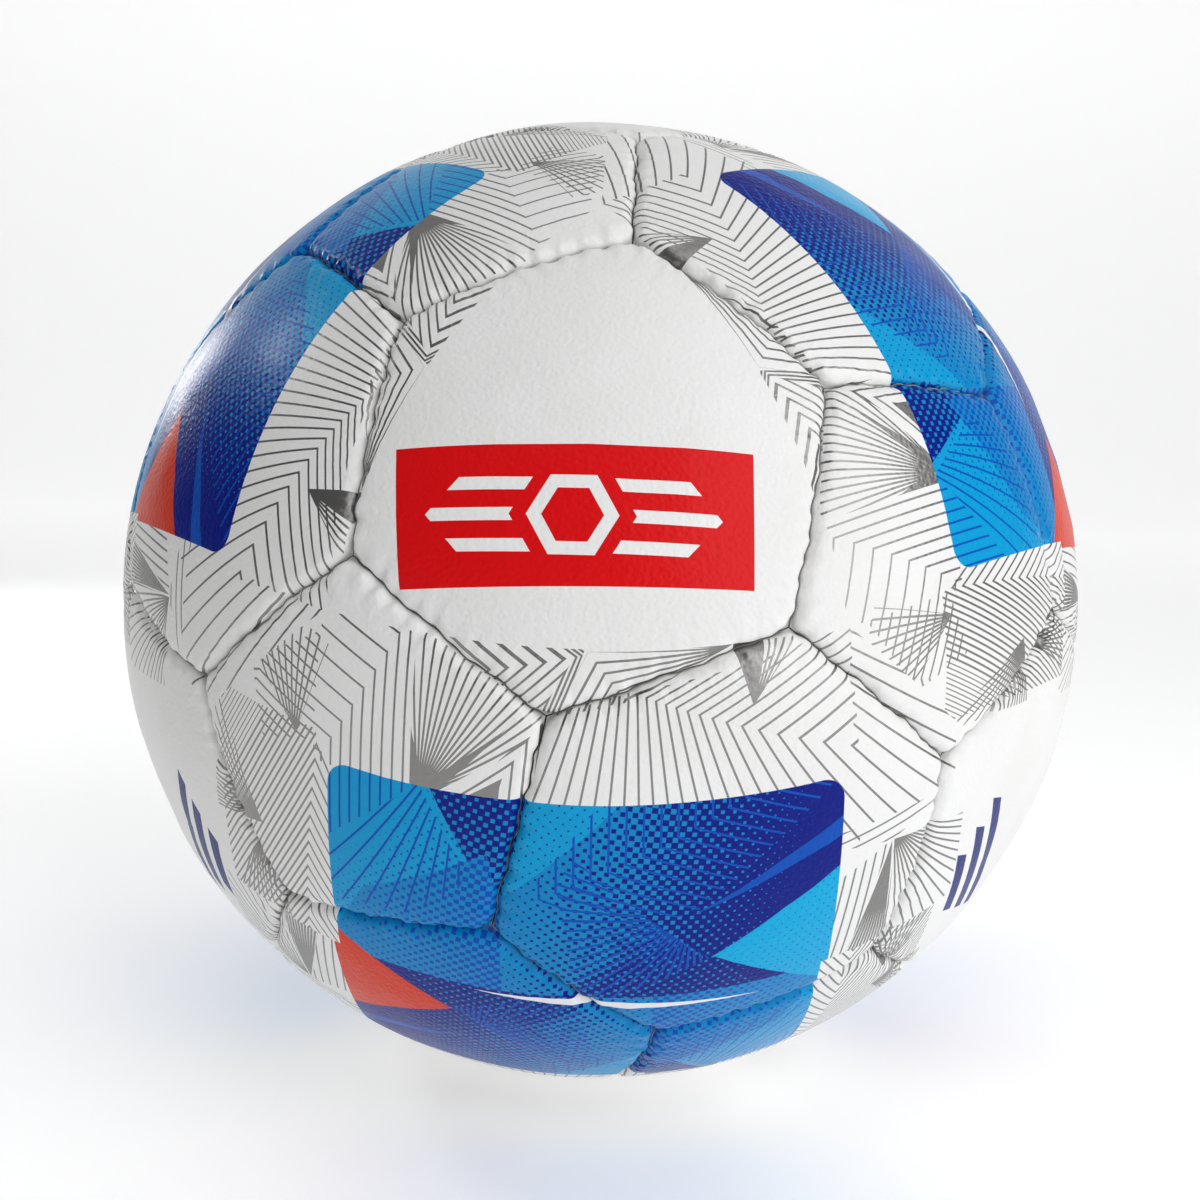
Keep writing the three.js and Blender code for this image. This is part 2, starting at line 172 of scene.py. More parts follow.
class Panel:
    def __init__(self, name, corners, seams):
        self.name = name
        self.middle = node_direction(name)
        self.sides = 5 if name.startswith("pentagon") else 6
        numbers = panel_corners(self.middle, self.sides, corners)
        self.corners = [corners[i] for i in numbers]
        self.seams = []
        self.normals = []
        for a, b in zip(numbers, numbers[1:] + numbers[:1]):
            key = (min(a, b), max(a, b))
            if key not in seams:
                seams[key] = Seam(corners[a], corners[b], len(seams))
            self.seams.append(seams[key])
            self.normals.append(unit(np.cross(corners[a], corners[b])))

    def ring(self, inset, steps):
        """Directions of a line inset millimetres inside the seams, with so many steps along each side."""
        lift = math.sin(inset / BALL)
        turns = []
        for before, after in zip(self.normals[-1:] + self.normals[:-1], self.normals):
            cosine = before @ after
            level = lift / (1 + cosine) * (before + after)
            outward = unit(np.cross(before, after))
            turns.append(level + outward * math.sqrt(max(0.0, 1 - level @ level)))
        points = []
        for side, normal in enumerate(self.normals):
            start = turns[side] - lift * normal
            end = turns[(side + 1) % self.sides] - lift * normal
            across = np.cross(normal, start)
            sweep = math.atan2(end @ across, end @ start)
            for step in range(steps):
                angle = sweep * step / steps
                points.append(lift * normal + start * math.cos(angle) + across * math.sin(angle))
        return np.array(points)

    def surface(self, directions):
        """Points of the outside, in millimetres, for directions from the ball's centre."""
        moved = directions.copy()
        away = np.stack([BALL * np.arcsin(np.clip(directions @ n, -1, 1)) for n in self.normals])
        nearest = -CORNER_SOFTNESS * np.log(np.exp(-away / CORNER_SOFTNESS).sum(0))
        roll = np.clip(nearest / ROLL_WIDTH, 0, 1)
        drop = ROLL_DEPTH * (1 - np.sqrt(1 - (1 - roll) ** 2))
        drop += VALLEY_DEPTH * np.exp(-np.maximum(nearest, 0) / VALLEY_WIDTH)
        for seam, distance in zip(self.seams, away):
            along = BALL * (directions @ seam.along)
            ends = np.clip((seam.half_length - np.abs(along)) / CORNER_FADE, 0, 1)
            pull = 0.5 + 0.5 * np.cos(seam.stitches(along))
            drop += PUCKER_DEPTH * ends * pull**2 * np.exp(-((distance / PUCKER_REACH) ** 2))
            crease = seam.creases(along, distance)
            drop += WRINKLE_DEPTH * crease * np.exp(-distance / WRINKLE_REACH) * np.clip(distance, 0, 1)
            drift = np.sin(2 * math.pi * along / seam.drift_length + seam.stitch_phase)
            weave = STITCH_SHARE * np.sin(seam.stitches(along)) + DRIFT_SHARE * drift
            swing = SEAM_SWING * ends * weave
            swing *= np.exp(-((distance / (2 * PUCKER_REACH)) ** 2))
            moved += np.outer(swing / BALL, seam.normal)
        drop += DENT_DEPTH * unevenness(directions)
        return unit_rows(moved) * (BALL - drop)[:, None]

    def flank(self, depth):
        """The sewn edge's own side, at one depth below the outside of the ball."""
        top = self.surface(self.ring(SEAM_GAP / 2, SIDE_STEPS))
        return unit_rows(top) * (BALL - depth)

    def flat_position(self, points):
        """Places on a flat map round the panel's middle, in millimetres."""
        right, up = side_axes(self.middle)
        directions = unit_rows(points)
        angle = np.arccos(np.clip(directions @ self.middle, -1, 1))
        sideways = np.stack([directions @ right, directions @ up], 1)
        length = np.maximum(np.linalg.norm(sideways, axis=1), 1e-9)
        return sideways / length[:, None] * (angle * BALL)[:, None]


def circle_directions(middle, radius, count, first):
    """Directions of a circle round middle that starts nearest to the direction first."""
    right = unit(first - (first @ middle) * middle)
    up = np.cross(middle, right)
    angle = radius / BALL
    turn = 2 * math.pi * np.arange(count) / count
    flat = np.outer(np.cos(turn), right) + np.outer(np.sin(turn), up)
    return flat * math.sin(angle) + middle * math.cos(angle)


def hole_rings(panel):
    """Rings that change from the face's last outline into the round valve hole."""
    last = panel.ring(*FACE_RINGS[-1])
    round_hole = circle_directions(panel.middle, VALVE_HOLE, len(last), panel.corners[0])
    rings = []
    for step in range(1, HOLE_RINGS + 1):
        share = step / HOLE_RINGS
        mixed = last * (1 - share) + round_hole * share
        rings.append(unit_rows(mixed))
    return rings


def panel_rings(panel):
    """The panel's rings from the middle of its outside, over the seam, to the middle of its lining."""
    has_hole = panel.name == "valve_panel"
    outside = [panel.surface(panel.ring(*place)) for place in FACE_RINGS]
    lining_radius = BALL - COVER_THICKNESS
    foot = panel.flank(FLANGE_DEPTH)
    inner_edge = panel.ring(SEAM_GAP / 2 + FLANGE_THICKNESS, SIDE_STEPS // 2)
    hidden = [panel.flank(FLANK_DEPTH), foot, inner_edge * (BALL - FLANGE_DEPTH), inner_edge * lining_radius]
    hidden += [panel.ring(*place) * lining_radius for place in LINING_RINGS]
    if has_hole:
        hole = hole_rings(panel)
        outside += [panel.surface(ring) for ring in hole]
        hidden.append(hole[-1] * lining_radius)
    return outside[::-1], hidden, has_hole


def bridge(a, b, faces):
    """Faces between two closed rings of vertex numbers; one may have twice the other's steps."""
    if len(a) == len(b):
        for i in range(len(a)):
            j = (i + 1) % len(a)
            faces.append((b[i], b[j], a[j], a[i]))
    elif len(b) == 2 * len(a):
        for i in range(len(a)):
            j = (i + 1) % len(a)
            near, half, far = b[2 * i], b[2 * i + 1], b[(2 * i + 2) % len(b)]
            faces += [(near, half, a[i]), (half, a[j], a[i]), (half, far, a[j])]
    else:
        flipped = []
        bridge(b, a, flipped)
        faces += [face[::-1] for face in flipped]


def close_ring(ring, apex, faces):
    faces += [(ring[i - 1], ring[i], apex) for i in range(len(ring))]


def new_mesh(name, points_mm, faces):
    mesh = bpy.data.meshes.new(name)
    mesh.from_pydata((np.array(points_mm) * MM).tolist(), [], faces)
    return mesh


FACE_MAP_SHARE = 0.8      # of the bake map's width, for the printed face
LINING_MAP_MIDDLE = 0.9
LINING_MAP_RADIUS = 0.085


def panel_mesh(panel):
    outside, hidden, has_hole = panel_rings(panel)
    rings = outside + hidden
    starts = np.cumsum([0] + [len(r) for r in rings])
    numbers = [list(range(starts[i], starts[i + 1])) for i in range(len(rings))]
    points = np.concatenate(rings)
    faces = []
    printed_faces = 0
    if not has_hole:
        apex, lining_apex = len(points), len(points) + 1
        top = panel.surface(panel.middle[None])
        points = np.concatenate([points, top, panel.middle[None] * (BALL - COVER_THICKNESS)])
        close_ring(numbers[0], apex, faces)
    for i in range(len(rings) - 1):
        if i == len(outside) - 1:
            printed_faces = len(faces)
        bridge(numbers[i], numbers[i + 1], faces)
    last = numbers[-1]
    if has_hole:
        bridge(last, numbers[0], faces)
    else:
        close_ring(last[::-1], lining_apex, faces)
    mesh = new_mesh(panel.name + "_cover", points, faces)
    map_panel(mesh, panel, points, faces, starts, len(outside), printed_faces)
    return mesh


def map_panel(mesh, panel, points, faces, starts, face_rings, printed_faces):
    """The bake map: the printed face as one large island, the sewn edge and the lining as a small disc."""
    flat = panel.flat_position(points)
    span = 2 * np.abs(flat).max()
    face_map = 0.01 + FACE_MAP_SHARE * (flat / span + 0.5)
    depth = np.zeros(len(points))
    ring_count = len(starts) - 1
    for i in range(face_rings - 1, ring_count):
        depth[starts[i]:starts[i + 1]] = (ring_count - i) / (ring_count - face_rings + 1)
    length = np.maximum(np.linalg.norm(flat, axis=1), 1e-9)
    lining_map = LINING_MAP_MIDDLE + flat / length[:, None] * (depth * LINING_MAP_RADIUS)[:, None]
    layer = mesh.uv_layers.new(name="OFBake")
    loops = np.concatenate(faces)
    is_hidden = np.arange(len(faces)) >= printed_faces
    hidden_loops = np.repeat(is_hidden, [len(face) for face in faces])
    chosen = np.where(hidden_loops[:, None], lining_map[loops], face_map[loops])
    layer.uv.foreach_set("vector", chosen.astype(np.float32).ravel())
    mesh.polygons.foreach_set("material_index", is_hidden.astype(np.int32))


def finish_mesh(mesh, sharp_degrees):
    mesh.polygons.foreach_set("use_smooth", [True] * len(mesh.polygons))
    mesh.set_sharp_from_angle(angle=math.radians(sharp_degrees))
    mesh.validate()
    mesh.update()


def new_object(name, data):
    made = bpy.data.objects.new(name, data)
    bpy.context.scene.collection.objects.link(made)
    return made


def place(mesh, name, nodes, slot, materials):
    """Puts a finished mesh in the scene as the piece that stands for some CAD nodes."""
    piece = new_object(name, mesh)
    for material in materials:
        mesh.materials.append(material)
    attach(piece, "root")
    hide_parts(*nodes)


def make_panels(cover, lining):
    corners = ball_corners()
    seams = {}
    for name in panel_names():
        panel = Panel(name, corners, seams)
        mesh = panel_mesh(panel)
        place(mesh, name + "_cover", [name], "panel_cover", [cover, lining])
        finish_mesh(mesh, SEAM_SHARP_DEGREES)
    return list(seams.values())


# ---- The thread: a saddle stitch of two strands that swap sides at every hole ----
THREAD_RADIUS = 0.4
THREAD_SIDES = 6
STITCH_DEPTH = 4.3        # of the stitch line below the outside of the ball
SEAM_SHARE_SEWN = 0.93    # the last stitches end just short of the panels' corners
STRAND_OFFSET = SEAM_GAP / 2 + FLANGE_THICKNESS + THREAD_RADIUS
STITCH_SHAPE = ((0.0, 0.0), (0.16, 0.9), (0.34, 1.0), (0.66, 1.0), (0.84, 0.9))


def strand_path(seam, side):
    """Points of one strand along a seam, in millimetres."""
    length = 2 * seam.half_length * SEAM_SHARE_SEWN
    stitches = round(length / STITCH_PITCH)
    points = []
    for stitch in range(stitches):
        direction = side if stitch % 2 == 0 else -side
        for share, out in STITCH_SHAPE:
            along = ((stitch + share) / stitches - 0.5) * length / BALL
            depth = STITCH_DEPTH + side * THREAD_RADIUS * (1 - out)
            spot = seam.middle * math.cos(along) + seam.along * math.sin(along)
            spot = unit(spot + seam.normal * direction * out * STRAND_OFFSET / BALL)
            points.append(spot * (BALL - depth))
    return np.array(points)


def add_strand(points, vertices, faces):
    """Adds a closed round tube along points to the lists."""
    tangents = unit_rows(np.gradient(points, axis=0))
    across = unit_rows(np.cross(tangents, unit_rows(points)))
    upward = np.cross(across, tangents)
    first = len(vertices)
    for spot, a, b in zip(points, across, upward):
        for k in range(THREAD_SIDES):
            turn = 2 * math.pi * k / THREAD_SIDES
            vertices.append(spot + THREAD_RADIUS * (a * math.cos(turn) + b * math.sin(turn)))
    rings = [[first + i * THREAD_SIDES + k for k in range(THREAD_SIDES)] for i in range(len(points))]
    for a, b in zip(rings, rings[1:]):
        bridge(a, b, faces)
    faces.append(rings[0])
    faces.append(rings[-1][::-1])


def stitching_node_of(seam, node_points):
    """The CAD thread that runs nearest to the middle of a seam."""
    return max(node_points, key=lambda name: (node_points[name] @ seam.middle).max())


def make_stitching(seams, thread):
    names = [n for n in sorted(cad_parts) if n.startswith("stitching")]
    node_points = {}
    for name in names:
        spots = np.array([v.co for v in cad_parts[name].data.vertices])
        node_points[name] = unit_rows(spots)
    owners = [stitching_node_of(seam, node_points) for seam in seams]
    for name in names:
        vertices, faces = [], []
        for seam, owner in zip(seams, owners):
            if owner == name:
                for side in (1, -1):
                    add_strand(strand_path(seam, side), vertices, faces)
        mesh = new_mesh(name + "_thread", vertices, faces)
        place(mesh, name + "_thread", [name], "waxed_thread", [thread])
        finish_mesh(mesh, SEAM_SHARP_DEGREES)


# ---- The turned pieces on the valve's axis, as outlines of radius and height ----
TURNED_SIDES = 96
EDGE_ROUNDING = 0.25
ROUNDING_STEPS = 4
DOME_STEPS = 12
BLADDER_DOME_STEPS = 121
BLADDER_WALL = 1.2
BLADDER_FLASH = 0.15      # height of the moulding ridge round the bladder's middle
FLASH_WIDTH = 0.035       # radians
VALVE_HEAD_RADIUS = 4.2
VALVE_NECK_RADIUS = 6.0
VALVE_STEM_RADIUS = 5.0
VALVE_FLANGE_THICKNESS = 2.0
CORE_RADIUS = 2.3
CORE_HEAD_LENGTH = 2.4
NEEDLE_BORE_RADIUS = 0.6
NEEDLE_FUNNEL_RADIUS = 1.3
CONTACT_GAP = 0.3
PATCH_THICKNESS = {"bladder_patch": 0.9, "panel_patch": 1.1}


def box_mm(node):
    low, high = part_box(node)
    return low / MM, high / MM


def rounded(outline):
    """The outline with a small arc instead of each corner."""
    result = []
    count = len(outline)
    for i, corner in enumerate(outline):
        here = np.array(corner, float)
        before = np.array(outline[i - 1], float) - here
        after = np.array(outline[(i + 1) % count], float) - here
        reach = min(EDGE_ROUNDING, np.linalg.norm(before) * 0.4, np.linalg.norm(after) * 0.4)
        start, end = here + unit(before) * reach, here + unit(after) * reach
        for step in range(ROUNDING_STEPS + 1):
            t = step / ROUNDING_STEPS
            result.append((1 - t) ** 2 * start + 2 * t * (1 - t) * here + t * t * end)
    return result


def dome_arc(radius, start, end, steps):
    """Points of a sphere's outline from one distance off the axis to another, on the valve's side."""
    first, last = math.asin(start / radius), math.asin(end / radius)
    angles = np.linspace(first, last, steps + 1)
    return [(radius * math.sin(a), radius * math.cos(a)) for a in angles]


def turned_mesh(name, outline):
    """A closed outline, counter-clockwise in (radius, height), turned round the valve's axis."""
    area = sum(a[0] * b[1] - b[0] * a[1] for a, b in zip(outline, outline[1:] + outline[:1]))
    outline = outline if area > 0 else outline[::-1]
    vertices, faces = [], []
    for turn in range(TURNED_SIDES):
        angle = 2 * math.pi * turn / TURNED_SIDES
        vertices += [(r * math.cos(angle), r * math.sin(angle), z) for r, z in outline]
    count = len(outline)
    for turn in range(TURNED_SIDES):
        here, there = turn * count, (turn + 1) % TURNED_SIDES * count
        for i in range(count):
            j = (i + 1) % count
            faces.append((here + i, there + i, there + j, here + j))
    return new_mesh(name, vertices, faces)


def valve_housing_outline():
    low, (flange, _, top) = box_mm("valve_housing")
    core_high = box_mm("valve_core")[1]
    end = low[2]
    inner = CORE_RADIUS + CONTACT_GAP
    pocket_radius = core_high[0] + CONTACT_GAP
    face_radius = -box_mm("bladder")[0][2] - BLADDER_WALL - CONTACT_GAP
    shoulder = box_mm("panel_patch")[1][2] - 0.4
    rim = math.sqrt(face_radius**2 - flange**2)
    pocket, under = end + CORE_HEAD_LENGTH, rim - VALVE_FLANGE_THICKNESS
    lower = [(inner, top), (inner, pocket), (pocket_radius, pocket), (pocket_radius, end)]
    lower += [(VALVE_STEM_RADIUS, end), (VALVE_STEM_RADIUS, under), (flange, under), (flange, rim)]
    upper = dome_arc(face_radius, flange - 1, VALVE_NECK_RADIUS, DOME_STEPS)
    head = [(VALVE_NECK_RADIUS, shoulder), (VALVE_HEAD_RADIUS, shoulder), (VALVE_HEAD_RADIUS, top)]
    return rounded(lower + upper + head)


def valve_core_outline():
    low, (head, _, top) = box_mm("valve_core")
    end = low[2]
    head_face = end + CORE_HEAD_LENGTH - CONTACT_GAP
    funnel_depth = NEEDLE_FUNNEL_RADIUS - NEEDLE_BORE_RADIUS
    outline = [(NEEDLE_BORE_RADIUS, top - funnel_depth), (NEEDLE_BORE_RADIUS, end), (head, end)]
    outline += [(head, head_face), (CORE_RADIUS, head_face), (CORE_RADIUS, top), (NEEDLE_FUNNEL_RADIUS, top)]
    return rounded(outline)


def bladder_outline():
    """A hollow latex ball, open round the valve's neck, with a fine moulding ridge round its middle."""
    radius = -box_mm("bladder")[0][2]
    neck = VALVE_NECK_RADIUS + CONTACT_GAP
    start = math.asin(neck / radius)
    angles = np.linspace(start, math.pi - 1e-3, BLADDER_DOME_STEPS)
    outside = []
    for angle in angles:
        ridge = BLADDER_FLASH * math.exp(-((angle - math.pi / 2) / FLASH_WIDTH) ** 2)
        outside.append(((radius + ridge) * math.sin(angle), (radius + ridge) * math.cos(angle)))
    inner = radius - BLADDER_WALL
    inside = [(inner * math.sin(a), inner * math.cos(a)) for a in angles[::-1]]
    return outside + inside


def patch_outline(node):
    high = box_mm(node)[1]
    hole = VALVE_NECK_RADIUS + CONTACT_GAP
    radius = math.hypot(hole, high[2])
    outside = dome_arc(radius, high[0], hole, DOME_STEPS)
    inside = dome_arc(radius - PATCH_THICKNESS[node], hole, high[0], DOME_STEPS)
    return outside + inside


def make_turned_pieces(looks):
    for node, (outline, slot, material) in looks.items():
        mesh = turned_mesh(node + "_turned", outline)
        place(mesh, node + "_turned", [node], slot, [material])
        finish_mesh(mesh, TURNED_SHARP_DEGREES)


# ---- Materials ----


class Graph:
    """A material's node tree, with one short call for each kind of node."""

    def __init__(self, name):
        self.material = bpy.data.materials.new(name)
        self.material.use_nodes = True
        self.tree = self.material.node_tree
        self.shader = self.tree.nodes["Principled BSDF"]

    def feed(self, socket, value):
        if isinstance(value, bpy.types.NodeSocket):
            self.tree.links.new(value, socket)
        else:
            socket.default_value = value

    def node(self, kind, *values, **settings):
        made = self.tree.nodes.new(kind)
        for key, value in settings.items():
            setattr(made, key, value)
        for socket, value in zip(made.inputs, values):
            if value is not None:
                self.feed(socket, value)
        return made

    def math(self, operation, *values):
        return self.node("ShaderNodeMath", *values, operation=operation).outputs[0]

    def times(self, a, b):
        return self.math("MULTIPLY", a, b)

    def plus(self, a, b):
        return self.math("ADD", a, b)

    def minus(self, a, b):
        return self.math("SUBTRACT", a, b)

    def larger(self, a, b):
        return self.math("MAXIMUM", a, b)

    def under(self, a, b):
        return self.math("LESS_THAN", a, b)

    def over(self, a, b):
        return self.math("GREATER_THAN", a, b)

    def size(self, value):
        return self.math("ABSOLUTE", value)

    def union(self, masks):
        return functools.reduce(self.larger, masks)

    def vector(self, operation, *values):
        made = self.node("ShaderNodeVectorMath", *values, operation=operation)
        return made.outputs["Value" if operation in ("DOT_PRODUCT", "LENGTH") else "Vector"]

    def dot(self, vector, numbers):
        return self.vector("DOT_PRODUCT", vector, tuple(float(n) for n in numbers))

    def combine(self, x, y, z):
        return self.node("ShaderNodeCombineXYZ", x, y, z).outputs[0]

    def mix(self, kind, factor, a, b):
        """a where factor is 0 and b where it is 1; the kind is the sockets' type."""
        made = self.node("ShaderNodeMix", data_type="FLOAT" if kind == "VALUE" else kind)
        first, second = [s for s in made.inputs if s.type == kind and s.name in ("A", "B")]
        self.feed(made.inputs[0], factor)
        self.feed(first, a)
        self.feed(second, b)
        return next(s for s in made.outputs if s.type == kind)

    def blend(self, factor, a, b):
        return self.mix("RGBA", factor, a, b)

    def remap(self, value, low, high, new_low, new_high):
        return self.node("ShaderNodeMapRange", value, low, high, new_low, new_high).outputs[0]

    def place_of(self):
        return self.node("ShaderNodeTexCoord").outputs["Object"]

    def noise(self, place, scale, detail):
        return self.node("ShaderNodeTexNoise", place, None, scale, detail).outputs[0]

    def cells(self, place, scale, feature="F1"):
        made = self.node("ShaderNodeTexVoronoi", place, None, scale, feature=feature)
        return made.outputs["Distance"]

    def bump(self, height, depth, before=None):
        """A bump whose height of 0 to 1 stands for depth millimetres."""
        made = self.node("ShaderNodeBump")
        made.inputs["Distance"].default_value = depth * MM
        self.feed(made.inputs["Height"], height)
        if before is not None:
            self.feed(made.inputs["Normal"], before)
        return made.outputs[0]

    def set(self, name, value):
        self.feed(self.shader.inputs[name], value)

    # Flat art. A place is a vector (across, up, 1) in millimetres, so that a dot product is a whole plane.

    def inside(self, place, corners):
        """1 inside an outline without dents, and 0 outside it."""
        area = sum(a[0] * b[1] - b[0] * a[1] for a, b in zip(corners, corners[1:] + corners[:1]))
        turned = corners if area > 0 else corners[::-1]
        depth = None
        for (ax, ay), (bx, by) in zip(turned, turned[1:] + turned[:1]):
            length = math.hypot(bx - ax, by - ay)
            nx, ny = (ay - by) / length, (bx - ax) / length
            edge = self.dot(place, (nx, ny, -nx * ax - ny * ay))
            depth = edge if depth is None else self.math("MINIMUM", depth, edge)
        return self.over(depth, 0.0)

    def slid(self, place, start, end, heading):
        """A place beyond a line, slid back to it along heading, and how far it slid."""
        (ax, ay), (bx, by) = start, end
        nx, ny = ay - by, bx - ax
        ux, uy = math.cos(math.radians(heading)), math.sin(math.radians(heading))
        speed = nx * ux + ny * uy
        slide = self.dot(place, (nx / speed, ny / speed, -(nx * ax + ny * ay) / speed))
        slide = self.larger(slide, 0.0)
        back = self.vector("SCALE", (ux, uy, 0.0), None, None, slide)
        return self.vector("SUBTRACT", place, back), slide

    def lines(self, place, through, heading, pitch, width, folds=()):
        """Parallel printed lines that turn at each fold (its two ends, the new heading), outermost first."""
        half_width = width / 2 / pitch
        headings = [fold[2] for fold in folds[1:]] + [heading]
        for (start, end, turned), before in zip(folds, headings):
            place, slide = self.slid(place, start, end, turned)
            fold_heading = math.degrees(math.atan2(end[1] - start[1], end[0] - start[0]))
            beyond = math.sin(math.radians(turned - fold_heading))
            spacing = abs(beyond / math.sin(math.radians(before - fold_heading)))
            change = self.times(self.over(slide, 0.0), 1 / spacing - 1)
            half_width = self.times(self.plus(change, 1.0), half_width)
        nx, ny = -math.sin(math.radians(heading)), math.cos(math.radians(heading))
        x, y = through
        phase = self.dot(place, (nx / pitch, ny / pitch, -(nx * x + ny * y) / pitch))
        return self.under(self.math("PINGPONG", phase, 0.5), half_width)

    def bundles(self, place, art):
        """The union of several inks, each kept inside its own outline."""
        return self.union([self.times(self.inside(place, outline), ink) for outline, ink in art])

    def rays(self, place, apex, spread, width):
        """Printed rays from a point, spread degrees apart, of one width, so that they merge near it."""
        x = self.dot(place, (1, 0, -apex[0]))
        y = self.dot(place, (0, 1, -apex[1]))
        step = math.radians(spread)
        turn = self.math("PINGPONG", self.math("DIVIDE", self.math("ARCTAN2", y, x), step), 0.5)
        reach = self.vector("LENGTH", self.combine(x, y, 0.0))
        distance = self.times(turn, self.times(reach, step))
        return self.under(distance, width / 2)


# The print repeats by the turns of a tetrahedron. Three of its axes look out through the middles of the
# blue patches below, right and left of the front hexagon, and the other three patches lie opposite them.
AXIS_RIGHT = (math.sqrt(1 / 2), -math.sqrt(1 / 6), math.sqrt(1 / 3))
AXIS_LEFT = (-math.sqrt(1 / 2), -math.sqrt(1 / 6), math.sqrt(1 / 3))
AXIS_BELOW = (0.0, -math.sqrt(2 / 3), -math.sqrt(1 / 3))
FRONT = (0.0, -math.sqrt(8) / 3, 1 / 3)
FRONT_UP = (0.0, 1 / 3, math.sqrt(8) / 3)

LINE_WIDTH = 0.41
PATCH_LEFT, PATCH_RIGHT, PATCH_TOP, PATCH_ROUNDING = -46.8, 48.2, 45.0, 4.5
ART_END = 71.8            # the silver art ends this far from a patch's middle
HALFTONE_STEP = 1.1       # between two staggered rows of halftone squares
EMBLEM_MIDDLE = (-2.4, -11.2)
RING_RADIUS, RING_HALF_WIDTH = 5.6, 1.1
BARS_START, START_LEAN = 10.6, 0.6      # of the bars beside the ring, from its middle
BARS_END, END_LEAN = 25.0, 0.9
EMBLEM_BAR_GAP = 3.0
BAR_PITCH, BAR_HEIGHT, BAR_LEAN = 5.2, 3.0, 2
CORNER_BARS_START = 13.0
PATCH_TIP = [(24.5, 10.5), (52, 28.5), (52, 0), (39.7, 0)]

WHITE = (0.80, 0.797, 0.79, 1)
SILVER = (0.24, 0.235, 0.23, 1)
NAVY = (0.0, 0.008, 0.20, 1)
ROYAL = (0.0, 0.07, 0.42, 1)
AZURE = (0.0, 0.215, 0.51, 1)
SKY = (0.0, 0.30, 0.60, 1)
CYAN = (0.0, 0.36, 0.66, 1)
ORANGE = (0.64, 0.035, 0.008, 1)
RED = (0.66, 0.004, 0.006, 1)
INK_BLUE = (0.012, 0.02, 0.16, 1)


class PrintedPlace:
    """Where a point of the cover lies in the print: on the nearest patch's own flat map."""

    def __init__(self, g):
        self.direction = g.vector("NORMALIZE", g.place_of())
        x, y, z = (g.dot(self.direction, axis) for axis in (AXIS_RIGHT, AXIS_LEFT, AXIS_BELOW))
        self.x, self.y, self.z = x, y, z
        ax, ay, az = (g.size(v) for v in (x, y, z))
        below = g.over(az, g.larger(ax, ay))
        right = g.over(ax, g.larger(ay, az))
        turned = g.mix("VECTOR", right, g.combine(z, x, y), g.combine(y, z, x))
        turned = g.mix("VECTOR", below, turned, g.combine(x, y, z))
        parts = g.node("ShaderNodeSeparateXYZ", turned).outputs
        side = g.math("SIGN", parts[2])
        other = g.times(parts[1], side)
        up = g.times(g.plus(parts[0], other), math.sqrt(0.5))
        across = g.times(g.minus(parts[0], other), math.sqrt(0.5))
        stretch = g.times(flat_stretch(g, g.size(parts[2])), g.math("SIGN", up))
        self.across = g.times(across, stretch)
        self.up = g.times(up, stretch)
        self.flat = g.combine(self.across, self.up, 1.0)
        self.lower_half = g.under(up, 0.0)
        left_patch = g.under(g.plus(below, right), 0.5)
        same_half = g.math("COMPARE", self.lower_half, left_patch, 0.5)
        self.warm = g.minus(1.0, same_half)


def flat_stretch(g, cosine):
    """What turns a sideways part of a unit direction into millimetres on the flat map round its axis."""
    angle = g.math("ARCCOSINE", g.math("MINIMUM", cosine, 1.0))
    return g.math("DIVIDE", g.times(angle, BALL), g.math("SINE", angle))


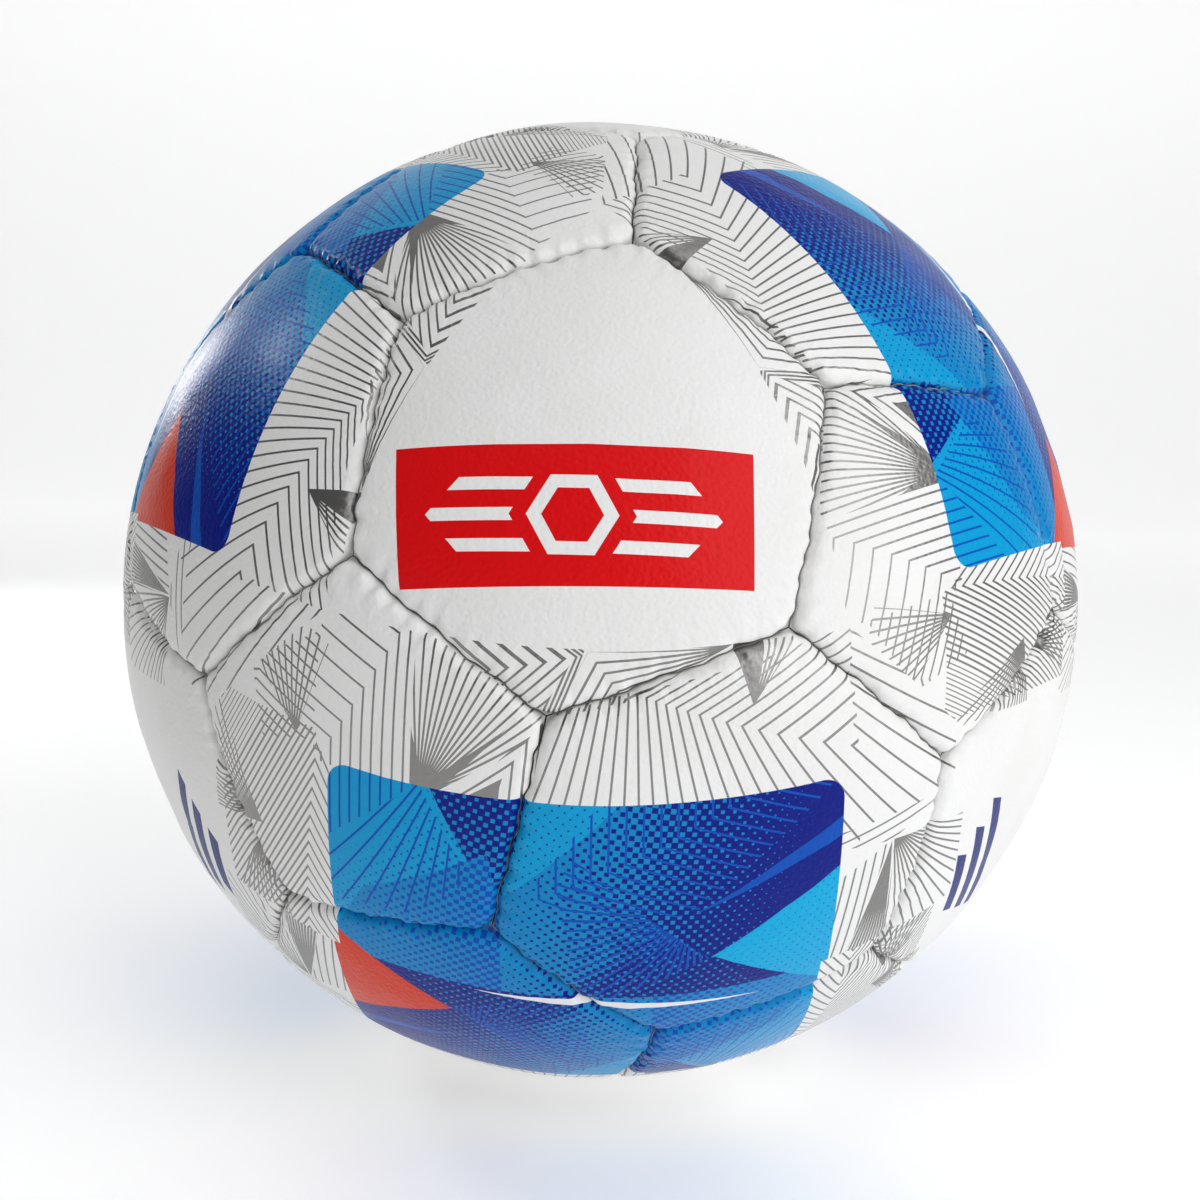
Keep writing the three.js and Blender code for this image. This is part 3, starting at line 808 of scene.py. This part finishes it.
def silver_bundles(g, at):
    """The silver art round a patch: each bundle is an outline, the lines in it and where they turn."""
    w = LINE_WIDTH
    column = [(-30.2, 72), (-50, 72), (-50, 44), (-30.2, 44)]
    yield column, g.lines(at, (-31.5, 50), 90, 2.1, w, [((-33, 72), (-47, 48), 157)])
    fan = [(-30.2, 44), (-30.2, 73), (-6.5, 60.5), (-9, 56), (-26, 44)]
    yield fan, g.rays(at, (-28.6, 43.5), 4.1, w)
    yield [(-30.2, 55), (-30.2, 44), (-27, 44)], 1.0
    yield [(-28.5, 45), (-24.8, 45), (-13, 57.5)], 1.0
    hooks = [(-26, 44.5), (-9, 57), (-6, 60), (-9, 44)]
    yield hooks, g.lines(at, (-14, 50), 38, 1.7, w, [((-6.5, 60.5), (-14.5, 47), -95)])
    yield [(-20, 44.5), (-13.4, 48.8), (-14.6, 44.5)], 1.0
    rising, _ = g.slid(at, (50, 50), (9, 64.5), 27)
    yield [(-9, 44), (-3, 61), (9, 64.5), (50, 72), (52, 30), (48, 30)], g.rays(rising, (9, 94), 2.95, w)
    yield [(50, 72), (50, 33), (75, 33), (75, 55)], g.rays(at, (9, 94), 2.95, w)
    arrows = [(-28, 72), (-6.5, 60.5), (-4, 60), (0.5, 72)]
    arrow_folds = [((-22, 66), (-8, 69), 147), ((-7.6, 60), (-0.6, 72), -112)]
    yield arrows, g.lines(at, (-10, 68.5), 42, 1.7, w, arrow_folds)
    roof, _ = g.slid(at, (8, 63), (0.5, 72), 242)
    yield [(-5, 60), (0.5, 72), (27.5, 72), (8, 63)], g.rays(roof, (28, 71.4), 4.4, w)
    yield [(27, 71.8), (30.5, 61), (33, 71.8)], g.rays(at, (30.5, 60), 2.2, 0.7)
    yield [(33, 71.8), (30.5, 61), (39, 71.8)], g.rays(at, (30.5, 60.5), 6.0, w)
    hatch = [(-50, 68), (-50, 48), (-62, 44), (-66, 58)]
    yield hatch, g.lines(at, (-50, 60), 158, 2.1, w, [((-60, 72), (-66, 48), 200)])
    yield [(-54, 48), (-66, 60), (-58, 70), (-48, 66)], g.rays(at, (-54.5, 46), 6.0, w)
    nested = [(-74, 50), (-50, 50), (-46.5, 44), (-46.5, 0), (-74, 0)]
    nested_folds = [((-49, 50), (-53, 10), -118), ((-54, 56), (-66, 20), -60)]
    yield nested, g.lines(at, (-60, 44), 0, 2.3, w, nested_folds)
    yield [(-76, 46), (-73, 46), (-63, 24), (-76, 20)], g.rays(at, (-64, 23), 5.0, w)
    yield [(-66, 17), (-64.5, 17), (-58, 0), (-73, 0)], g.rays(at, (-65.2, 19), 4.4, w)
    yield [(48, 33), (75, 33), (75, 24), (59.5, 27), (48, 22)], g.lines(at, (60, 30), 8, 2.2, w)
    yield [(59.5, 27), (52, 0), (60.5, 0)], g.rays(at, (59.5, 28), 1.7, 0.55)
    yield [(48, 22), (59, 27), (52, 0), (48, 0)], g.lines(at, (50, 10), 83, 2.0, w)
    yield [(60, 27), (60.5, 0), (78, 0), (78, 24)], g.rays(at, (59.5, 30), 4.6, w)


def silver_art(g, place):
    art = g.bundles(place.flat, silver_bundles(g, place.flat))
    return g.times(art, g.under(place.up, ART_END))


def patch_shape(g, place):
    """1 on the blue patch: a rectangle with rounded corners."""
    middle = (PATCH_LEFT + PATCH_RIGHT) / 2
    half_wide = (PATCH_RIGHT - PATCH_LEFT) / 2 - PATCH_ROUNDING
    half_high = PATCH_TOP - PATCH_ROUNDING
    beside = g.minus(g.size(g.minus(place.across, middle)), half_wide)
    above = g.minus(place.up, half_high)
    out = g.combine(g.larger(beside, 0.0), g.larger(above, 0.0), 0.0)
    return g.under(g.vector("LENGTH", out), PATCH_ROUNDING)


def halftone(g, at):
    """Squares that grow from dots into a chessboard and on to small gaps, as a height of 0 to 1."""
    half = 1 / (HALFTONE_STEP * 2)
    lean = math.radians(-7)
    c, s = math.cos(lean) * half, math.sin(lean) * half
    first = g.math("PINGPONG", g.dot(at, (c - s, c + s, 0)), 0.5)
    second = g.math("PINGPONG", g.dot(at, (c + s, s - c, 0)), 0.5)
    return g.plus(first, second)


def blue_facets():
    """Outline, ground, ink and the ink's share: how much at a place, and how fast it grows across and up."""
    return [
        ([(-50, 47), (-14, 47), (-14, 0), (-50, 0)], SKY, ROYAL, (0.10, 0.012, -0.010, (-34, 36))),
        ([(-27.5, 47), (-9, 47), (-14, 22)], AZURE, NAVY, (0.62, -0.004, 0.012, (-18, 38))),
        ([(-40, 20), (-16, 34), (-13, 18), (-13, 0), (-50, 0)], AZURE, ROYAL, (0.42, 0.012, 0, (-24, 14))),
        ([(-14, 24), (-8.5, 47), (9, 47)], SKY, NAVY, (0.15, 0.0, 0.0, (0, 40))),
        ([(-14, 24), (9, 47), (52, 47), (52, 0), (-14, 0)], AZURE, NAVY, (0.42, 0.016, -0.003, (6, 30))),
        (PATCH_TIP, CYAN, ROYAL, (0.12, 0.003, -0.002, (38, 12))),
        ([(0, 4), (21, 20), (28, 8), (39.7, 0), (0, 0)], AZURE, NAVY, (0.74, 0.004, 0.0, (20, 8))),
    ]


def royal_bundles(g, at):
    """The fine lines and the band on a blue patch, as for the silver art."""
    yield [(0, 0), (-4, 30), (8, 44), (40, 44), (48, 24), (24, 10), (34, 0)], g.rays(at, (20.5, 21), 6.2, 0.5)
    frets = [(-7, 24), (-7, 30), (4, 46), (48, 46), (20, 21)]
    yield frets, g.lines(at, (20, 40), -22, 2.6, 0.42, [((-8, 25), (32, 46), 90)])
    yield [(-50, 47), (-27, 47), (-47.5, 29)], g.lines(at, (-40, 40), 90, 2.1, 0.4)
    yield [(-28.5, 45.5), (-47.5, 29), (-47.5, 14), (-30, 17), (-19, 28)], g.rays(at, (-20, 58), 4.6, 0.4)
    yield [(20, 21), (50, 38), (50, 33.5)], 1.0


def blue_patch(g, place):
    """The patch's colour before its white strip."""
    at = place.flat
    tone = halftone(g, at)
    ground, ink, share = AZURE, NAVY, 0.3
    for outline, new_ground, new_ink, (level, across, up, (x, y)) in blue_facets():
        covered = g.inside(at, outline)
        ground = g.blend(covered, ground, new_ground)
        ink = g.blend(covered, ink, new_ink)
        slope = g.dot(at, (across, up, level - across * x - up * y))
        share = g.mix("VALUE", covered, share, slope)
    colour = g.blend(g.under(tone, share), ground, ink)
    colour = g.blend(g.bundles(at, royal_bundles(g, at)), colour, ROYAL)
    lower_tip = g.inside(at, [(-52, 0), (-39.7, 0), (-52, 8.5)])
    upper_warm_tip = g.times(g.inside(at, PATCH_TIP), place.warm)
    cold_tip = g.times(lower_tip, place.warm)
    warm_tip = g.times(lower_tip, g.minus(1.0, place.warm))
    colour = g.blend(g.larger(upper_warm_tip, warm_tip), colour, ORANGE)
    colour = g.blend(cold_tip, colour, CYAN)
    strip = g.inside(at, [(40, 1.4), (0, 0.8), (-38, 4.6), (-40.5, 6.6), (-10, 3.8), (30, 3.0)])
    strip = g.times(strip, place.lower_half)
    return g.blend(strip, colour, WHITE)


def front_block(g, place):
    """The red block on the front hexagon, and the white six-sided ring with bars inside it."""
    cosine = g.dot(place.direction, FRONT)
    stretch = flat_stretch(g, cosine)
    across = g.times(g.dot(place.direction, (1, 0, 0)), stretch)
    up = g.times(g.dot(place.direction, FRONT_UP), stretch)
    at = g.combine(across, up, 1.0)
    block = g.inside(at, [(-33.4, 0.6), (27.6, 1.0), (28.5, -22.3), (-31.9, -23.8)])
    block = g.times(block, g.over(cosine, 0.0))
    x, y = EMBLEM_MIDDLE
    reaches = []
    for side in range(3):
        angle = math.radians(60 * side + 30)
        nx, ny = math.cos(angle), math.sin(angle)
        reaches.append(g.size(g.dot(at, (nx, ny, -nx * x - ny * y))))
    ring = g.math("COMPARE", g.union(reaches), RING_RADIUS, RING_HALF_WIDTH)
    beside = g.size(g.dot(at, (1, 0, -x)))
    height = g.dot(at, (0, 1, -y))
    bars = g.over(g.math("PINGPONG", g.plus(height, BAR_PITCH / 2), BAR_PITCH / 2), EMBLEM_BAR_GAP / 2)
    tall = g.size(height)
    bars = g.times(bars, g.under(tall, 1.25 * BAR_PITCH))
    start = g.over(g.plus(beside, g.times(tall, START_LEAN)), BARS_START)
    end = g.under(g.plus(beside, g.times(tall, END_LEAN)), BARS_END)
    bars = g.times(bars, g.times(start, end))
    emblem = g.larger(ring, bars)
    return block, emblem


def corner_bars(g, place):
    """Three plain slanted bars beside each of the four white corners between the patches."""
    odd = g.under(g.times(g.times(place.x, place.y), place.z), 0.0)
    folded = g.combine(g.times(g.size(place.x), -1.0), g.size(place.y), g.size(place.z))
    corner = unit(np.array([-1.0, 1.0, 1.0]))
    along = unit(np.cross(corner, np.array([0.0, 0.0, 1.0])))
    towards = np.cross(along, corner)
    towards = towards if towards[2] > 0 else -towards
    stretch = flat_stretch(g, g.dot(folded, corner))
    length = g.times(g.dot(folded, along), stretch)
    height = g.times(g.dot(folded, towards), stretch)
    at = g.combine(length, height, 1.0)
    bars = []
    for row, half_length in enumerate((17.0, 13.0, 9.0)):
        low = CORNER_BARS_START + BAR_PITCH * row
        high = low + BAR_HEIGHT
        bottom = [(-half_length, low), (half_length, low)]
        top = [(half_length - BAR_LEAN, high), (-half_length - BAR_LEAN, high)]
        bars.append(g.inside(at, bottom + top))
    return g.times(g.union(bars), odd)


def printed_cover():
    g = Graph("printed_cover")
    where = g.place_of()
    place = PrintedPlace(g)
    ageing = g.noise(where, 38, 4)
    ground = g.blend(g.remap(ageing, 0.35, 0.7, 0.0, 1.0), WHITE, (0.76, 0.755, 0.745, 1))
    silver = silver_art(g, place)
    on_patch = patch_shape(g, place)
    silver = g.times(silver, g.minus(1.0, on_patch))
    block, emblem = front_block(g, place)
    bars = corner_bars(g, place)
    colour = g.blend(silver, ground, SILVER)
    colour = g.blend(bars, colour, INK_BLUE)
    colour = g.blend(on_patch, colour, blue_patch(g, place))
    colour = g.blend(block, colour, RED)
    colour = g.blend(g.times(block, emblem), colour, WHITE)
    # Painted shade: the colour darkens towards a dark grey deep in the seam valleys, where the rolled panel
    # edges shade each other.
    painted_valley_shade = g.remap(g.vector("LENGTH", where), (BALL - 2.7) * MM, (BALL - 1.5) * MM, 0.6, 0.0)
    colour = g.blend(painted_valley_shade, colour, (0.10, 0.095, 0.09, 1))
    g.set("Base Color", colour)
    g.set("Metallic", g.times(silver, 0.9))
    grain = g.cells(where, 1150, "SMOOTH_F1")
    fine = g.noise(where, 1900, 2)
    gloss = g.plus(g.times(g.noise(where, 90, 3), 0.16), 0.30)
    g.set("Roughness", g.minus(gloss, g.times(on_patch, 0.05)))
    soft = g.bump(g.noise(where, 210, 3), 0.05)
    g.set("Normal", g.bump(g.plus(grain, g.times(fine, 0.35)), 0.1, soft))
    g.set("Specular IOR Level", 0.12)
    g.set("Coat Weight", 0.04)
    g.set("Coat Roughness", 0.2)
    return g.material


def woven(name, light, dark, thread_mm):
    """Plain-woven cloth: two sets of threads that pass over each other."""
    g = Graph(name)
    where = g.place_of()
    pitch = 2 * math.pi / (thread_mm * MM)
    warp = g.math("SINE", g.dot(where, (pitch, 0, pitch)))
    weft = g.math("SINE", g.dot(where, (0, pitch, -pitch)))
    weave = g.plus(g.times(g.times(warp, weft), 0.5), 0.5)
    stain = g.noise(where, 60, 3)
    mixed = g.blend(weave, dark, light)
    g.set("Base Color", g.blend(g.remap(stain, 0.4, 0.8, 0.0, 0.5), mixed, dark))
    g.set("Roughness", g.minus(0.85, g.times(weave, 0.1)))
    g.set("Normal", g.bump(g.plus(weave, g.times(g.noise(where, 2500, 2), 0.3)), 0.12))
    g.set("Sheen Weight", 0.3)
    return g.material


def waxed_thread():
    """Twisted waxed polyester whose colour is darker in the grooves of its twist."""
    g = Graph("waxed_thread_twist")
    where = g.place_of()
    run = g.dot(where, (1.0, 1.3, 0.7))
    twist = g.plus(g.times(g.math("SINE", g.times(run, 7000.0)), 0.5), 0.5)
    fuzz = g.noise(where, 3000, 3)
    g.set("Base Color", g.blend(twist, (0.34, 0.31, 0.25, 1), (0.72, 0.69, 0.61, 1)))
    g.set("Roughness", g.plus(g.times(fuzz, 0.25), 0.4))
    g.set("Normal", g.bump(g.plus(twist, g.times(fuzz, 0.4)), 0.1))
    return g.material


def moulded_rubber(name, light, dark, roughness, scale, depth):
    """Rubber with flow marks, a fine pitted skin and a little bloom."""
    g = Graph(name)
    where = g.place_of()
    flow = g.noise(where, scale, 4)
    pits = g.cells(where, scale * 14)
    g.set("Base Color", g.blend(g.remap(flow, 0.3, 0.7, 0.0, 1.0), dark, light))
    g.set("Roughness", g.plus(g.times(flow, 0.22), roughness))
    g.set("Normal", g.bump(g.plus(flow, g.times(pits, 0.3)), depth))
    g.set("Sheen Weight", 0.12)
    return g.material


def turned_looks():
    """The outline, the record's slot and the material of each turned piece."""
    latex = moulded_rubber("bladder_latex_skin", (0.62, 0.40, 0.17, 1), (0.46, 0.27, 0.10, 1), 0.34, 55, 0.2)
    patch = moulded_rubber("patch_rubber_sheet", (0.42, 0.24, 0.10, 1), (0.30, 0.16, 0.07, 1), 0.5, 130, 0.1)
    cloth = woven("patch_cloth_weave", (0.60, 0.58, 0.52, 1), (0.30, 0.28, 0.24, 1), 0.9)
    black, deep_black = (0.055, 0.055, 0.058, 1), (0.022, 0.022, 0.024, 1)
    valve = moulded_rubber("valve_rubber_body", black, deep_black, 0.42, 300, 0.06)
    core = moulded_rubber("core_rubber_plug", (0.11, 0.11, 0.115, 1), (0.05, 0.05, 0.052, 1), 0.36, 400, 0.05)
    return {
        "valve_housing": (valve_housing_outline(), "valve_rubber", valve),
        "valve_core": (valve_core_outline(), "core_rubber", core),
        "bladder": (bladder_outline(), "bladder_latex", latex),
        "bladder_patch": (patch_outline("bladder_patch"), "patch_rubber", patch),
        "panel_patch": (patch_outline("panel_patch"), "patch_cloth", cloth),
    }


# ---- The stage, in ball radii ----
FLOOR_HALF_WIDTH = 40
FLOOR_FRONT, FLOOR_BACK = -30, 22
SWEEP_RADIUS = 12
WALL_HEIGHT = 45
SWEEP_STEPS = 24


def floor_material():
    g = Graph("paper_floor")
    where = g.place_of()
    fibres = g.noise(where, 240, 3)
    g.set("Base Color", g.blend(fibres, (0.90, 0.90, 0.90, 1), (0.93, 0.93, 0.93, 1)))
    g.set("Roughness", g.plus(g.times(fibres, 0.1), 0.8))
    g.set("Specular IOR Level", 0.1)
    # The sheet glows a little: painted light that stands in for studio lamps brightening the paper.
    g.set("Emission Color", (1, 1, 1, 1))
    g.set("Emission Strength", 0.31)
    return g.material


def make_floor():
    """A pale sheet that lies under the ball and sweeps up behind it without an edge."""
    profile = [(FLOOR_FRONT, -1.0), (FLOOR_BACK, -1.0)]
    for step in range(1, SWEEP_STEPS + 1):
        angle = math.pi / 2 * step / SWEEP_STEPS
        back = FLOOR_BACK + SWEEP_RADIUS * math.sin(angle)
        profile.append((back, -1.0 + SWEEP_RADIUS * (1 - math.cos(angle))))
    profile.append((FLOOR_BACK + SWEEP_RADIUS, WALL_HEIGHT))
    sides = (-FLOOR_HALF_WIDTH, FLOOR_HALF_WIDTH)
    spots = [(x * BALL, y * BALL, z * BALL) for y, z in profile for x in sides]
    faces = [(2 * row, 2 * row + 1, 2 * row + 3, 2 * row + 2) for row in range(len(profile) - 1)]
    mesh = new_mesh("paper_sweep", spots, faces)
    mesh.polygons.foreach_set("use_smooth", [True] * len(faces))
    mesh.materials.append(floor_material())
    new_object("paper_sweep", mesh)


def direction_at(azimuth, elevation):
    """Azimuth 0 is towards -Y and 90 towards +X, in degrees."""
    a, e = math.radians(azimuth), math.radians(elevation)
    return Vector((math.sin(a) * math.cos(e), -math.cos(a) * math.cos(e), math.sin(e)))


def area_lamp(name, spot, backward, width, height, power, colour=(1, 1, 1)):
    """A rectangular lamp with its back to one direction, and its place and size in ball radii."""
    radius = BALL * MM
    light = bpy.data.lights.new(name, "AREA")
    light.shape = "RECTANGLE"
    light.size, light.size_y = width * radius, height * radius
    light.energy = power
    light.color = colour
    lamp = new_object(name, light)
    lamp.location = spot * radius
    lamp.rotation_euler = backward.to_track_quat("Z", "Y").to_euler()


def softbox(name, azimuth, elevation, distance, width, height, power, colour=(1, 1, 1)):
    outward = direction_at(azimuth, elevation)
    area_lamp(name, outward * distance, outward, width, height, power, colour)


def make_lights():
    world = bpy.data.worlds.new("studio")
    world.use_nodes = True
    background = world.node_tree.nodes["Background"]
    background.inputs["Color"].default_value = (0.985, 0.99, 1.0, 1)
    background.inputs["Strength"].default_value = 0.12
    bpy.context.scene.world = world
    softbox("window_right", 47, 20, 9, 8.5, 8.5, 7.0, (0.985, 0.992, 1.0))
    softbox("window_left", -105, 35, 10, 1.1, 1.3, 1.1)
    softbox("window_rear_left", -136, 16, 10, 1.2, 1.8, 1.0)
    softbox("ceiling", 10, 70, 10, 8, 8, 3.3)
    area_lamp("wall_washer", Vector((0, 8, 24)), Vector((0, -1, 0.55)), 2 * FLOOR_HALF_WIDTH, 8, 76.0)


CAMERA_AZIMUTH, CAMERA_ELEVATION, CAMERA_ROLL = 1.35, 6.37, 1.64
CAMERA_DISTANCE = 3.0     # in ball radii
OUTLINE_SHARE = 0.39833   # radius of the ball's outline, as a share of the picture's width


def make_camera():
    data = bpy.data.cameras.new("photo_camera")
    data.sensor_width = 36.0
    outline = math.tan(math.asin(1 / CAMERA_DISTANCE))
    data.lens = OUTLINE_SHARE / outline * data.sensor_width
    data.clip_start, data.clip_end = 0.01, 100
    camera = new_object("photo_camera", data)
    back = direction_at(CAMERA_AZIMUTH, CAMERA_ELEVATION)
    level = Vector((0, 0, 1)).cross(back).normalized()
    upright = back.cross(level)
    roll = math.radians(CAMERA_ROLL)
    right = level * math.cos(roll) + upright * math.sin(roll)
    up = back.cross(right)
    turned = Matrix((right, up, back)).transposed().to_4x4()
    camera.matrix_world = Matrix.Translation(back * CAMERA_DISTANCE * BALL * MM) @ turned
    bpy.context.scene.camera = camera


make_camera()
bpy.context.scene.view_settings.view_transform = "Standard"
lining = woven("panel_backing_cloth", (0.66, 0.65, 0.61, 1), (0.42, 0.41, 0.38, 1), 1.1)
seams = make_panels(printed_cover(), lining)
make_stitching(seams, waxed_thread())
make_turned_pieces(turned_looks())
make_floor()
make_lights()
